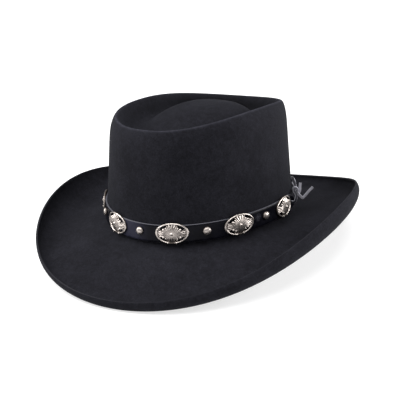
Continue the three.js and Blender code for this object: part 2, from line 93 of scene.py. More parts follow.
# Strap, and what sits on it
BAND_WIDTH = 16.4
BAND_WALL = 1.9
BAND_DROP = 0.9
BAND_SADDLE = 3.1
BAND_END = 23.5
BAND_LIFT = 3.0
BAND_LIFT_LENGTH = 7.5
BAND_CLEARANCE = 0.3
BAND_TO_BREAK = 2.75
METAL_CLEARANCE = 0.3
CONCHO_COUNT = 9
CONCHO_PITCH = 62.75
CENTRE_CONCHO_ARC = 28.3
CENTRE_CONCHO = 6
METAL_RISE = 1.1
CONCHO_HALF_LENGTH = 15.4
CONCHO_HALF_HEIGHT = 9.75
STUD_RADIUS = 3.7
STUD_HEIGHT = 2.7
THONG_WIDTH = 2.6
THONG_WALL = 1.1
THONG_HOLE = 2.0
THONG_HOLE_INSET = 3.4

# How the hat is set down on its brim: a tilt about X, then a move
SET_DOWN_TILT = -0.0612002
SET_DOWN_MOVE = Vector((-1.71552, 1.96185, 41.78299))
SET_DOWN = Matrix.Translation(SET_DOWN_MOVE) @ Matrix.Rotation(SET_DOWN_TILT, 4, "X")

# Profile of the crown's top: share of the lip oval, of the crease depth, of the dome height
CROWN_TOP = [
    (0.2, 0.02, 0.93),
    (0.38, 0.15, 0.7),
    (0.55, 0.46, 0.36),
    (0.68, 0.84, 0.1),
    (0.775, 1.0, 0.0),
    (0.86, 0.88, 0.0),
    (0.92, 0.45, 0.0),
    (0.97, 0.07, 0.0),
]
# Profile of the crown's side, from the lip down: share up from the band, share in to the lip
CROWN_SIDE = [
    (1.0, 1.0),
    (0.98, 0.87),
    (0.93, 0.7),
    (0.82, 0.5),
    (0.55, 0.35),
    (0.25, 0.19),
    (0.0, 0.06),
]
# Profile of the brim: share of the width, of the break radius, of the drop
BRIM_FLAT = [
    (0.03, 0.6, 0.0),
    (0.1, 0.95, 0.02),
    (0.3, 1.0, 0.17),
    (0.53, 1.0, 0.5),
    (0.78, 1.0, 0.84),
    (1.0, 1.0, 1.0),
]
# Profile of the curl: share in from the edge, share up, share of the bulge
BRIM_CURL = [
    (0.6, 0.08, 0.3),
    (0.32, 0.23, 0.65),
    (0.12, 0.45, 0.95),
    (0.0, 0.78, 0.65),
    (0.0, 1.0, 0.0),
]

# Ends of the strap: share of half its width along, share of its width
STRAP_END = [(0.0, 0.3), (0.05, 0.42), (0.12, 0.54), (0.3, 0.74), (0.6, 0.92), (1.0, 1.0)]

# Runs of the thong: millimetres past the strap's end, up from the band's middle, out from the felt
THONG_RUNS = {
    "near": [(-3.4, 0, 1.2), (-3.4, 0, 6), (-1, 5.2, 7.6), (3.5, 8.5, 4.8), (9, 8.7, 4.2), (15, 7.7, 4.2)],
    "tail_up": [(15, 6.7, 5), (16, 3.9, 7.2), (16, 5.2, 8.2), (16.5, 9.7, 8.7), (17, 13.9, 9.4)],
    "tail_out": [
        (15, 5.7, 5),
        (15, 1.2, 8.5),
        (15, -0.9, 11),
        (15.5, 0.3, 12.6),
        (16.5, 5.2, 17),
        (17.5, 9.7, 21.5),
    ],
    "far_high": [
        (-3.4, 0, 1.2),
        (-3.4, 0, 6),
        (-1.5, 6.7, 7),
        (2.5, 12.7, 3.4),
        (14, 13.2, 2.6),
        (26, 10.2, 3.6),
        (32, 7.7, 4.2),
    ],
    "far_low": [(-1, 4.2, 7.4), (2.5, 6.7, 4.8), (8, 7.1, 2.4), (18, 5.7, 2.6), (30, 6.3, 4.2)],
}
KNOT_ALONG = 16.0
KNOT_UP = 7.2
KNOT_OUT = 4.1


def linear(code):
    """Linear colour of an sRGB hex value."""
    parts = [int(code[i : i + 2], 16) / 255 for i in (1, 3, 5)]
    return [c / 12.92 if c <= 0.04045 else ((c + 0.055) / 1.055) ** 2.4 for c in parts] + [1.0]


# Settings


class HatFeltSettings(bpy.types.PropertyGroup):
    """Sizes and colours of the felt."""

    wall: bpy.props.FloatProperty(
        name="Felt wall", description="Thickness of the felt", default=2.2 * MM, unit="LENGTH"
    )
    columns: bpy.props.IntProperty(
        name="Columns", description="Points round the hat before smoothing", default=120, min=24
    )
    nap: bpy.props.FloatProperty(
        name="Nap", description="Size of one tuft of the brushed wool", default=1.1 * MM, unit="LENGTH"
    )
    wool: bpy.props.FloatVectorProperty(
        name="Wool", description="Colour of the dyed wool", size=3, subtype="COLOR", default=linear("#131317")[:3]
    )
    wool_light: bpy.props.FloatVectorProperty(
        name="Light wool",
        description="Colour of the lighter fibres",
        size=3,
        subtype="COLOR",
        default=linear("#1d1d22")[:3],
    )


class HatLeatherSettings(bpy.types.PropertyGroup):
    """Sizes and colours of the strap and the thong."""

    segments: bpy.props.IntProperty(name="Segments", description="Steps along the strap", default=170, min=40)
    grain: bpy.props.FloatProperty(
        name="Grain", description="Width of a pebble of the grain", default=0.9 * MM, unit="LENGTH"
    )
    hide: bpy.props.FloatVectorProperty(
        name="Leather",
        description="Colour of the dyed leather",
        size=3,
        subtype="COLOR",
        default=linear("#08080e")[:3],
    )
    # The thong's dark grain colour also stands for shade on its near run: painted shade
    lace: bpy.props.FloatVectorProperty(
        name="Thong",
        description="Colour of the thong's grain side",
        size=3,
        subtype="COLOR",
        default=linear("#232328")[:3],
    )
    flesh: bpy.props.FloatVectorProperty(
        name="Thong flesh",
        description="Colour of the thong's rough side",
        size=3,
        subtype="COLOR",
        default=linear("#bab9c3")[:3],
    )
    edge: bpy.props.FloatVectorProperty(
        name="Cut edge",
        description="Colour of the cut edge",
        size=3,
        subtype="COLOR",
        default=linear("#4b4b53")[:3],
    )


class HatSilverSettings(bpy.types.PropertyGroup):
    """Sizes and colours of the conchos and studs."""

    flutes: bpy.props.IntProperty(name="Flutes", description="Ribs round the dome of a concho", default=28, min=8)
    flute_depth: bpy.props.FloatProperty(
        name="Flute depth", description="Depth between two ribs", default=0.58 * MM, unit="LENGTH"
    )
    plate: bpy.props.FloatVectorProperty(
        name="Silver",
        description="Colour of the polished plate",
        size=3,
        subtype="COLOR",
        default=linear("#cdc4be")[:3],
    )
    patina: bpy.props.FloatVectorProperty(
        name="Patina",
        description="Colour of the dark finish in the hollows",
        size=3,
        subtype="COLOR",
        default=linear("#4a423d")[:3],
    )


class HatStageSettings(bpy.types.PropertyGroup):
    """Floor, light and camera."""

    floor: bpy.props.FloatVectorProperty(
        name="Floor", description="Colour of the floor", size=3, subtype="COLOR", default=linear("#b0b0b0")[:3]
    )
    glow: bpy.props.FloatProperty(
        name="Glow", description="Strength of the light from below the floor", default=0.68
    )
    key: bpy.props.FloatProperty(
        name="Key light", description="Power of the small light over the front", default=2.0, unit="POWER"
    )
    left: bpy.props.FloatProperty(
        name="Left light", description="Power of the low light at the left", default=17.0, unit="POWER"
    )
    right: bpy.props.FloatProperty(
        name="Right light", description="Power of the low light at the right", default=14.0, unit="POWER"
    )
    back: bpy.props.FloatProperty(
        name="Back light", description="Power of the light behind the left of the hat", default=9.0, unit="POWER"
    )
    sky: bpy.props.FloatProperty(name="Sky", description="Strength of the even light", default=0.2)
    wash: bpy.props.FloatProperty(
        name="Wash", description="Strength of the broad light from above", default=3.9
    )


# Shape of the hat


def ramp(value, start, length):
    """Share of a length that a value has gone from its start, kept from 0 to 1."""
    return min(max((value - start) / length, 0.0), 1.0)


def round_head(shape, angle):
    """Harmonics round the head of a height or a width."""
    value = shape["mean"]
    for times, name in enumerate(("front", "saddle", "third", "fourth"), 1):
        value += shape.get(name, 0) * math.cos(times * angle)
    for times, name in enumerate(("lean", "twist"), 1):
        value += shape.get(name, 0) * math.sin(times * angle)
    return value


def oval(half_length, half_width, squareness, angle):
    """Point of an oval in plan; a squareness of 2 is an ellipse."""
    power = 2 / squareness
    s, c = math.sin(angle), math.cos(angle)
    x = math.copysign(half_width * abs(s) ** power, s)
    return Vector((x, -math.copysign(half_length * abs(c) ** power, c)))


def head_oval(angle):
    """Plan of the felt at the band."""
    return oval(HEAD_HALF_LENGTH, HEAD_HALF_WIDTH, 2, angle)


def lip_oval(angle):
    """Plan of the lip about its own middle."""
    return oval(LIP_HALF_LENGTH, LIP_HALF_WIDTH, LIP_SQUARENESS, angle)


def edge_plan(angle):
    """Plan of the brim's cut edge."""
    edge = oval(BRIM_HALF_LENGTH, BRIM_HALF_WIDTH, 2, angle)
    edge.x *= 1 + BRIM_EGG * math.cos(angle)
    return edge


def band_height(angle):
    """Height of the band's middle."""
    return -BAND_DROP - BAND_SADDLE * math.cos(2 * angle)


def steps_value(rows, value):
    """Value of a falling table of pairs, at a value of its first column."""
    for (a0, b0), (a1, b1) in zip(rows, rows[1:]):
        if value >= a1:
            return b0 + (b1 - b0) * ramp(value, a0, a1 - a0)
    return rows[-1][1]


def lip_round(angle):
    """How far the lip's corner is worn round, most at the wearer's left and back."""
    off = (math.degrees(angle) - LIP_ROUND_ANGLE + 180) % 360 - 180
    return LIP_ROUND * math.exp(-((off / LIP_ROUND_SPREAD) ** 2))


def crown_wall(angle, up):
    """Outside of the crown at an angle and a height above the middle of the band."""
    half = BAND_WIDTH / 2
    rise = round_head(LIP_HEIGHT, angle) - band_height(angle) - half
    if up > half:
        inward = steps_value(CROWN_SIDE, (up - half) / rise)
    else:
        inward = CROWN_SIDE[-1][1] * ramp(up, -half, BAND_WIDTH)
    lip = lip_oval(angle) + Vector((0, LIP_BACK_SHIFT))
    plan = head_oval(angle).lerp(lip, inward)
    return Vector((plan.x, plan.y, band_height(angle) + up))


def felt_rows(angle):
    """Outside of the felt at an angle, from the middle of the crown to the cut edge."""
    half = BAND_WIDTH / 2
    lip = round_head(LIP_HEIGHT, angle)
    rows = []
    for out, sink, dome in CROWN_TOP:
        plan = lip_oval(angle) * out + DOME_SHIFT * dome
        height = lip + (DOME_HEIGHT - lip) * dome - CREASE_DEPTH * sink
        rows.append(Vector((plan.x, plan.y + LIP_BACK_SHIFT, height)))
    rise = lip - band_height(angle) - half
    rows += [crown_wall(angle, half + rise * up) for up, _ in CROWN_SIDE]
    for row, share in LIP_ROUND_ROWS:
        rows[len(CROWN_TOP) + row].z -= share * lip_round(angle)
    rows.append(crown_wall(angle, -half))
    rows.append(crown_wall(angle, -half - BAND_TO_BREAK))
    start, finish = head_oval(angle), edge_plan(angle)
    break_height = band_height(angle) - half - BAND_TO_BREAK
    curl = round_head(CURL_HEIGHT, angle)
    bulge = round_head(CURL_BULGE, angle)
    valley = round_head(EDGE_HEIGHT, angle) - curl
    drop = break_height - BREAK_RADIUS - valley
    width = (finish - start).length
    for out, turn, fall in BRIM_FLAT:
        plan = start.lerp(finish, out * (1 - CURL_REACH * curl / width))
        rows.append(Vector((plan.x, plan.y, break_height - BREAK_RADIUS * turn - drop * fall)))
    for inward, up, roll in BRIM_CURL:
        plan = finish.lerp(start, (inward - bulge * roll) * curl / width)
        rows.append(Vector((plan.x, plan.y, valley + curl * up)))
    return rows


def through(points, per_span):
    """Points of a smooth line through given points, with even steps in each span."""
    ends = [2 * points[0] - points[1], *points, 2 * points[-1] - points[-2]]
    line = []
    for before, a, b, after in zip(ends, ends[1:], ends[2:], ends[3:]):
        knots = [0.0]
        for p, q in ((before, a), (a, b), (b, after)):
            knots.append(knots[-1] + max((q - p).length, 1e-6) ** 0.5)
        t0, t1, t2, t3 = knots
        for step in range(per_span):
            t = t1 + (t2 - t1) * step / per_span
            a1 = before * ((t1 - t) / (t1 - t0)) + a * ((t - t0) / (t1 - t0))
            a2 = a * ((t2 - t) / (t2 - t1)) + b * ((t - t1) / (t2 - t1))
            a3 = b * ((t3 - t) / (t3 - t2)) + after * ((t - t2) / (t3 - t2))
            b1 = a1 * ((t2 - t) / (t2 - t0)) + a2 * ((t - t0) / (t2 - t0))
            b2 = a2 * ((t3 - t) / (t3 - t1)) + a3 * ((t - t1) / (t3 - t1))
            line.append(b1 * ((t2 - t) / (t2 - t1)) + b2 * ((t - t1) / (t2 - t1)))
    line.append(points[-1].copy())
    return line


# Arc lengths along the head oval from the front, for turning a length into an angle
OVAL_STEPS = 1440
ARC_STEPS = [(0.0, 0.0)]
for oval_step in range(1, OVAL_STEPS + 1):
    oval_angle = oval_step / OVAL_STEPS * TURN
    piece_length = (head_oval(oval_angle) - head_oval(ARC_STEPS[-1][1])).length
    ARC_STEPS.append((ARC_STEPS[-1][0] + piece_length, oval_angle))
HEAD_GIRTH = ARC_STEPS[-1][0]
# Angle to both sides over which the direction of the band is taken
SIDE_STEP = 0.017


def angle_at(arc):
    """Angle round the head of an arc length from the front."""
    arc %= HEAD_GIRTH
    low, high = 0, OVAL_STEPS
    while high - low > 1:
        middle = (low + high) // 2
        low, high = (middle, high) if ARC_STEPS[middle][0] <= arc else (low, middle)
    (a0, t0), (a1, t1) = ARC_STEPS[low], ARC_STEPS[high]
    return t0 + (t1 - t0) * (arc - a0) / (a1 - a0)


def on_band(arc, up, out):
    """Point at an arc length round the head, a height and a distance out from the felt."""
    angle = angle_at(arc)
    side = (head_oval(angle + SIDE_STEP) - head_oval(angle - SIDE_STEP)).normalized()
    return crown_wall(angle, up) + Vector((side.y, -side.x, 0)) * out


OVER_STRAP = BAND_CLEARANCE + BAND_WALL + METAL_CLEARANCE
STRAP_END_ARC = CENTRE_CONCHO_ARC + (CONCHO_COUNT - 1 - CENTRE_CONCHO) * CONCHO_PITCH + BAND_END
STRAP_START_ARC = CENTRE_CONCHO_ARC - CENTRE_CONCHO * CONCHO_PITCH - BAND_END


def end_lift(arc):
    """How far the ends of the strap stand off the felt."""
    past = max(arc - STRAP_END_ARC, STRAP_START_ARC - arc) + BAND_LIFT_LENGTH
    return BAND_LIFT * (max(past, 0) / BAND_LIFT_LENGTH) ** 2


def distance_to(point, a, b):
    """Distance of a point from the line between two others."""
    share = ramp((point - a).dot(b - a), 0.0, (b - a).length_squared)
    return (point - a.lerp(b, share)).length


def set_down(point):
    """Place of a point of the hat when it lies on its brim, in metres."""
    return (SET_DOWN @ point) * MM


# Modelling helpers


# In metres: points nearer than these are the same place, or are joined as doubled
SAME_PLACE = 3.2e-7
DOUBLED = 1e-6


def begin():
    """Leaves edit mode and selects nothing."""
    if bpy.context.object and bpy.context.object.mode != "OBJECT":
        bpy.ops.object.mode_set(mode="OBJECT")
    bpy.ops.object.select_all(action="DESELECT")


def take(piece):
    """Makes a piece the only selected and active one."""
    begin()
    piece.select_set(True)
    bpy.context.view_layer.objects.active = piece


def start_ring(count, name):
    """Adds a circle of points that each remember their column, and leaves it in edit mode."""
    begin()
    bpy.ops.mesh.primitive_circle_add(vertices=count, radius=1.0, fill_type="NOTHING")
    piece = bpy.context.object
    piece.name = piece.data.name = name
    column = piece.data.attributes.new("column", "INT", "POINT")
    column.data.foreach_set("value", list(range(count)))
    bpy.ops.object.mode_set(mode="EDIT")
    bpy.ops.mesh.select_mode(type="VERT")
    bpy.ops.mesh.select_all(action="SELECT")
    return piece


def set_ring(piece, place, row):
    """Puts the selected points of a piece in edit mode where their column belongs in a row."""
    cage = bmesh.from_edit_mesh(piece.data)
    column = cage.verts.layers.int["column"]
    for point in cage.verts:
        if point.select:
            point.co = place(point[column], *row)
    bmesh.update_edit_mesh(piece.data)


def select_points(piece, places):
    """Selects the points of a piece in edit mode that lie at given places."""
    bpy.ops.mesh.select_all(action="DESELECT")
    cage = bmesh.from_edit_mesh(piece.data)
    for point in cage.verts:
        point.select = any((point.co - place).length_squared < SAME_PLACE**2 for place in places)
    cage.select_flush_mode()
    bmesh.update_edit_mesh(piece.data)


def sweep_rings(name, count, place, rows, closed=()):
    """Extrudes a ring of points through rows of values for a function that places its columns, and closes
    the rings of some rows with one face."""
    piece = start_ring(count, name)
    set_ring(piece, place, rows[0])
    for row in rows[1:]:
        bpy.ops.mesh.extrude_region_move()
        set_ring(piece, place, row)
    for row in closed:
        select_points(piece, [place(column, *row) for column in range(count)])
        bpy.ops.mesh.edge_face_add()
    bpy.ops.object.mode_set(mode="OBJECT")
    return piece


def apply_modifier(piece, kind, **settings):
    """Adds a modifier with its settings and applies it."""
    take(piece)
    modifier = piece.modifiers.new(kind.title(), kind)
    for name, value in settings.items():
        setattr(modifier, name, value)
    bpy.ops.object.modifier_apply(modifier=modifier.name)


def face_out(piece):
    """Joins doubled points and turns every face outwards."""
    take(piece)
    bpy.ops.object.mode_set(mode="EDIT")
    bpy.ops.mesh.select_all(action="SELECT")
    bpy.ops.mesh.remove_doubles(threshold=DOUBLED)
    bpy.ops.mesh.normals_make_consistent(inside=False)
    bpy.ops.object.mode_set(mode="OBJECT")


def face_up(piece, place):
    """Turns an open shell over if its face nearest to a place looks down."""
    face_out(piece)
    nearest = min(piece.data.polygons, key=lambda face: (face.center - place).length_squared)
    if nearest.normal.z < 0:
        bpy.ops.object.mode_set(mode="EDIT")
        bpy.ops.mesh.select_all(action="SELECT")
        bpy.ops.mesh.flip_normals()
        bpy.ops.object.mode_set(mode="OBJECT")


def join(pieces, name):
    """Joins pieces into the first one."""
    begin()
    for piece in pieces:
        piece.select_set(True)
    bpy.context.view_layer.objects.active = pieces[0]
    bpy.ops.object.join()
    pieces[0].name = pieces[0].data.name = name
    return pieces[0]


def smooth(piece, degrees=None):
    """Shades a piece smooth, up to an angle if one is given."""
    take(piece)
    if degrees is None:
        bpy.ops.object.shade_smooth()
    else:
        bpy.ops.object.shade_smooth_by_angle(angle=math.radians(degrees))


def mark_edges(piece, columns, starts):
    """Gives the second material to the faces of a swept piece on the cut edges, and to its ends."""
    column = [item.value for item in piece.data.attributes["column"].data]
    pairs = {frozenset((start, (start + 1) % columns)) for start in starts}
    for face in piece.data.polygons:
        if len(face.vertices) > 4 or frozenset(column[v] for v in face.vertices) in pairs:
            face.material_index = 1


def add_values(piece, name, values):
    """Gives each point of a piece a value that its material can read."""
    piece.data.attributes.new(name, "FLOAT", "POINT").data.foreach_set("value", values)


def hand_over(piece, nodes):
    """Puts a finished piece on the hat in place of its solids, without the working columns of its rings."""
    column = piece.data.attributes.get("column")
    if column:
        piece.data.attributes.remove(column)
    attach(piece, "root")
    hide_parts(*nodes)


# Materials


# Numbers of the sockets of a colour mix: how much of the second colour, first colour, second colour
FACTOR, FIRST, SECOND = 0, 6, 7
# Sockets that take values given in order, by the kind of node
ORDER = {
    "TexNoise": ("Scale", "Detail", "Roughness", "Distortion"),
    "MapRange": ("From Min", "From Max", "To Min", "To Max"),
    "Bump": ("Strength", "Distance"),
    "Mix": (FIRST, SECOND),
}

# Sizes of the patterns in millimetres. Real fibres and pores are 0.03 to 0.1 mm wide, too fine to show in
# the render, so the cut fibres, the pores and the pits are drawn as coarse as this, and the nap of the felt
# and the grain of the leather as coarse as their settings say.
CLOUD_SIZE = 34.0
CUT_FIBRE_SIZE = 0.8
PORE_SIZE = 0.5
RUB_SIZE = 9.0
EDGE_FIBRE_SIZE = 1.2
STAIN_SIZE = 1.6
PIT_SIZE = 0.7
# A lock of the nap is this many tufts wide
TUFTS_IN_LOCK = 4.5
# How strongly the painted highlight on the lip's crest and the painted shade in the hollows change the felt's
# colour
PAINTED_LIGHT_GAIN = 1.5
# Second colours as shares of the first: rubbed leather with what it gains in grey, dark fibres of a cut edge,
# and clouds of the floor with how many there are to a metre
WORN_SHARE, WORN_GREY = 1.8, 0.001
DARK_FIBRE_SHARE = 0.55
FLOOR_CLOUD_SHARE, FLOOR_CLOUDS = 0.985, 3.0
# Share of its reach over which the scuff or the painted sheen on the strap is full
SCUFF_AND_SHEEN_CORE = 0.3


def wire(tree, node, values=None, links=None):
    """Sets sockets of a node and links others into it; of a linked node the first output in use is taken."""
    for name, value in (values or {}).items():
        node.inputs[name].default_value = value
    for name, source in (links or {}).items():
        if isinstance(source, bpy.types.Node):
            source = next(output for output in source.outputs if output.enabled)
        tree.links.new(source, node.inputs[name])


def add_node(tree, kind, values=None, links=None, **settings):
    """Adds a node with its settings, the values of its sockets, by name or in order, and the links into it."""
    node = tree.nodes.new("ShaderNode" + kind)
    for name, value in settings.items():
        setattr(node, name, value)
    wire(tree, node, dict(zip(ORDER[kind], values)) if isinstance(values, tuple) else values, links)
    return node


def new_material(name):
    """Empty node material, its tree, its object coordinates and its shader."""
    material = bpy.data.materials.new(name)
    material.use_nodes = True
    tree = material.node_tree
    tree.nodes.clear()
    place = add_node(tree, "TexCoord").outputs["Object"]
    shader = add_node(tree, "BsdfPrincipled")
    add_node(tree, "OutputMaterial", links={"Surface": shader})
    return material, tree, place, shader


def colour(value):
    """Four numbers of a colour setting."""
    return [*value, 1.0]


def wool_felt(settings):
    """Brushed wool felt, dyed black: no gloss, a soft bloom at grazing light, and an uneven nap.

    The fibres are too fine to show, so the nap is drawn as tufts about a millimetre wide.
    """
    material, tree, place, shader = new_material("wool_felt_brushed")
    lock = TUFTS_IN_LOCK * settings.nap
    cloud = add_node(tree, "TexNoise", (1 / (CLOUD_SIZE * MM), 3.0, 0.55), {"Vector": place})
    locks = add_node(tree, "TexNoise", (1 / lock, 4.0, 0.65, 0.6), {"Vector": place})
    tufts = add_node(tree, "TexNoise", (1 / settings.nap, 3.0, 0.7, 1.4), {"Vector": place})
    both = add_node(tree, "Math", {1: 1.6}, {0: locks, 2: cloud}, operation="MULTIPLY_ADD")
    share = add_node(tree, "MapRange", (1.0, 1.6), {"Value": both})
    tones = (colour(settings.wool), colour(settings.wool_light))
    wool = add_node(tree, "Mix", tones, {FACTOR: share}, data_type="RGBA")
    fleck = add_node(tree, "MapRange", (0.35, 0.65, 0.66, 1.34), {"Value": tufts})
    # The crest attribute holds painted light: a painted highlight along the lip's crest, and painted shade in the
    # hollows inside lip and edge
    crest = add_node(tree, "Attribute", attribute_name="crest").outputs["Fac"]
    paler = add_node(tree, "Math", {1: PAINTED_LIGHT_GAIN, 2: 1.0}, {0: crest}, operation="MULTIPLY_ADD")
    gain = add_node(tree, "Math", None, {0: fleck, 1: paler}, operation="MULTIPLY")
    flecked = add_node(tree, "VectorMath", None, {0: wool, "Scale": gain}, operation="SCALE")
    rough = add_node(tree, "MapRange", (0.3, 0.7, 0.86, 0.98), {"Value": locks})
    wave = add_node(tree, "Bump", (0.5, 0.35 * MM), {"Height": locks})
    nap = add_node(tree, "Bump", (0.6, 0.22 * MM), {"Height": tufts, "Normal": wave})
    bloom = {"Sheen Weight": 0.035, "Sheen Roughness": 0.55, "Sheen Tint": linear("#8c8f9a")}
    faces = {"Base Color": flecked, "Roughness": rough, "Normal": nap}
    wire(tree, shader, {"Specular IOR Level": 0.06, **bloom}, faces)
    return material


def felt_cut_edge():
    """Raw cut edge of the felt: the wool stands open there, so it is paler and rougher than the brushed face."""
    material, tree, place, shader = new_material("wool_felt_cut_edge")
    fibre = add_node(tree, "TexNoise", (1 / (CUT_FIBRE_SIZE * MM), 4.0, 0.7), {"Vector": place})
    tones = (linear("#1c1c20"), linear("#2b2b30"))
    wool = add_node(tree, "Mix", tones, {FACTOR: fibre}, data_type="RGBA")
    nap = add_node(tree, "Bump", (0.7, 0.3 * MM), {"Height": fibre})
    wire(tree, shader, {"Roughness": 0.95, "Specular IOR Level": 0.15}, {"Base Color": wool, "Normal": nap})
    return material


def top_grain_leather(name, hide, grain_width, gloss, scuff_and_painted_sheen=()):
    """Dyed top grain leather, finished with wax: a soft gloss broken by the grain, a little dull where it rubs."""
    material, tree, place, shader = new_material(name)
    grain = add_node(
        tree, "TexVoronoi", {"Scale": 1 / grain_width}, {"Vector": place}, feature="DISTANCE_TO_EDGE"
    )
    pore = add_node(tree, "TexNoise", (1 / (PORE_SIZE * MM), 3.0), {"Vector": place})
    rub = add_node(tree, "TexNoise", (1 / (RUB_SIZE * MM), 5.0, 0.62, 0.8), {"Vector": place})
    dull = add_node(tree, "MapRange", (0.42, 0.72), {"Value": rub})
    tones = (colour(hide[:3]), colour([c * WORN_SHARE + WORN_GREY for c in hide[:3]]))
    tone = add_node(tree, "Mix", tones, {FACTOR: dull}, data_type="RGBA")
    scratch = add_node(tree, "MapRange", (0.52, 0.62), {"Value": pore})
    # Each mark is mixed into the colour: the scuff of wear, and the painted sheen that stands in for a reflection
    for spot, reach, code, scratched in scuff_and_painted_sheen:
        away = add_node(tree, "VectorMath", {1: spot}, {0: place}, operation="DISTANCE")
        fade = (SCUFF_AND_SHEEN_CORE * reach * MM, reach * MM, 1.0, 0.0)
        share = add_node(tree, "MapRange", fade, {"Value": away}, interpolation_type="SMOOTHSTEP")
        if scratched:
            share = add_node(tree, "Math", None, {0: share, 1: scratch}, operation="MULTIPLY")
        tone = add_node(tree, "Mix", {SECOND: linear(code)}, {FACTOR: share, FIRST: tone}, data_type="RGBA")
    rough = add_node(tree, "MapRange", (0.0, 1.0, 0.3, 0.42), {"Value": dull})
    pebble = add_node(tree, "Bump", (0.2, 0.08 * MM), {"Height": grain})
    fine = add_node(tree, "Bump", (0.25, 0.05 * MM), {"Height": pore, "Normal": pebble})
    faces = {"Base Color": tone, "Roughness": rough, "Normal": fine}
    wire(tree, shader, {"Specular IOR Level": gloss}, faces)
    return material


def leather_cut_edge(name, edge):
    """Cut and burnished leather: the fibres take less dye there, so it reads as a grey line."""
    material, tree, place, shader = new_material(name)
    fibre = add_node(tree, "TexNoise", (1 / (EDGE_FIBRE_SIZE * MM), 4.0, 0.6), {"Vector": place})
    tones = (colour([c * DARK_FIBRE_SHARE for c in edge[:3]]), colour(edge[:3]))
    dye = add_node(tree, "Mix", tones, {FACTOR: fibre}, data_type="RGBA")
    rib = add_node(tree, "Bump", (0.4, 0.1 * MM), {"Height": fibre})
    wire(tree, shader, {"Roughness": 0.5}, {"Base Color": dye, "Normal": rib})
    return material


def antique_silver(settings):
    """Cast silver plate, blackened and rubbed back: bright on the high places, brown black in the hollows."""
    material, tree, place, shader = new_material("antique_silver_plate")
    relief = add_node(tree, "Attribute", attribute_name="relief").outputs["Fac"]
    stain = add_node(tree, "TexNoise", (1 / (STAIN_SIZE * MM), 4.0, 0.6), {"Vector": place})
    rubbed = add_node(tree, "Math", {1: 0.24, 2: -0.12}, {0: stain}, operation="MULTIPLY_ADD")
    height = add_node(tree, "Math", None, {0: relief, 1: rubbed}, operation="ADD")
    rise = (0.12, 0.62)
    bright = add_node(tree, "MapRange", rise, {"Value": height}, interpolation_type="SMOOTHSTEP")
    tones = (colour(settings.patina), colour(settings.plate))
    plate = add_node(tree, "Mix", tones, {FACTOR: bright}, data_type="RGBA")
    rough = add_node(tree, "MapRange", (0.0, 1.0, 0.68, 0.36), {"Value": bright})
    cast = add_node(tree, "TexNoise", {"Scale": 1 / (PIT_SIZE * MM)}, {"Vector": place})
    pitted = add_node(tree, "Bump", (0.3, 0.05 * MM), {"Height": cast})
    wire(tree, shader, {"Metallic": 1.0}, {"Base Color": plate, "Roughness": rough, "Normal": pitted})
    return material


def studio_floor(settings):
    """Matt white acrylic of a light table: it glows a little, so that shadows on it stay pale."""
    material, tree, place, shader = new_material("light_table_acrylic")
    cloud = add_node(tree, "TexNoise", {"Scale": FLOOR_CLOUDS}, {"Vector": place})
    tones = (colour([c * FLOOR_CLOUD_SHARE for c in settings.floor]), colour(settings.floor))
    paint = add_node(tree, "Mix", tones, {FACTOR: cloud}, data_type="RGBA")
    glow = {"Emission Color": linear("#ffffff"), "Emission Strength": settings.glow}
    wire(tree, shader, {"Roughness": 0.9, "Specular IOR Level": 0.1, **glow}, {"Base Color": paint})
    return material


# Felt body


ROWS_PER_SPAN = 2
# How sharp the edges of the felt's wall stay when it is smoothed
WALL_CREASE = 0.35
# Width of the painted highlight along the lip's crest, in millimetres
PAINTED_CREST_HIGHLIGHT_WIDTH = 1.5
# Painted shade inside a line of the felt, at the back of the lip and at the wearer's left of the curl: how dark,
# middle and spread in millimetres from the line
LIP_PAINTED_SHADE = (0.42, 13.0, 8.0)
EDGE_PAINTED_SHADE = (0.44, 9.0, 8.0)


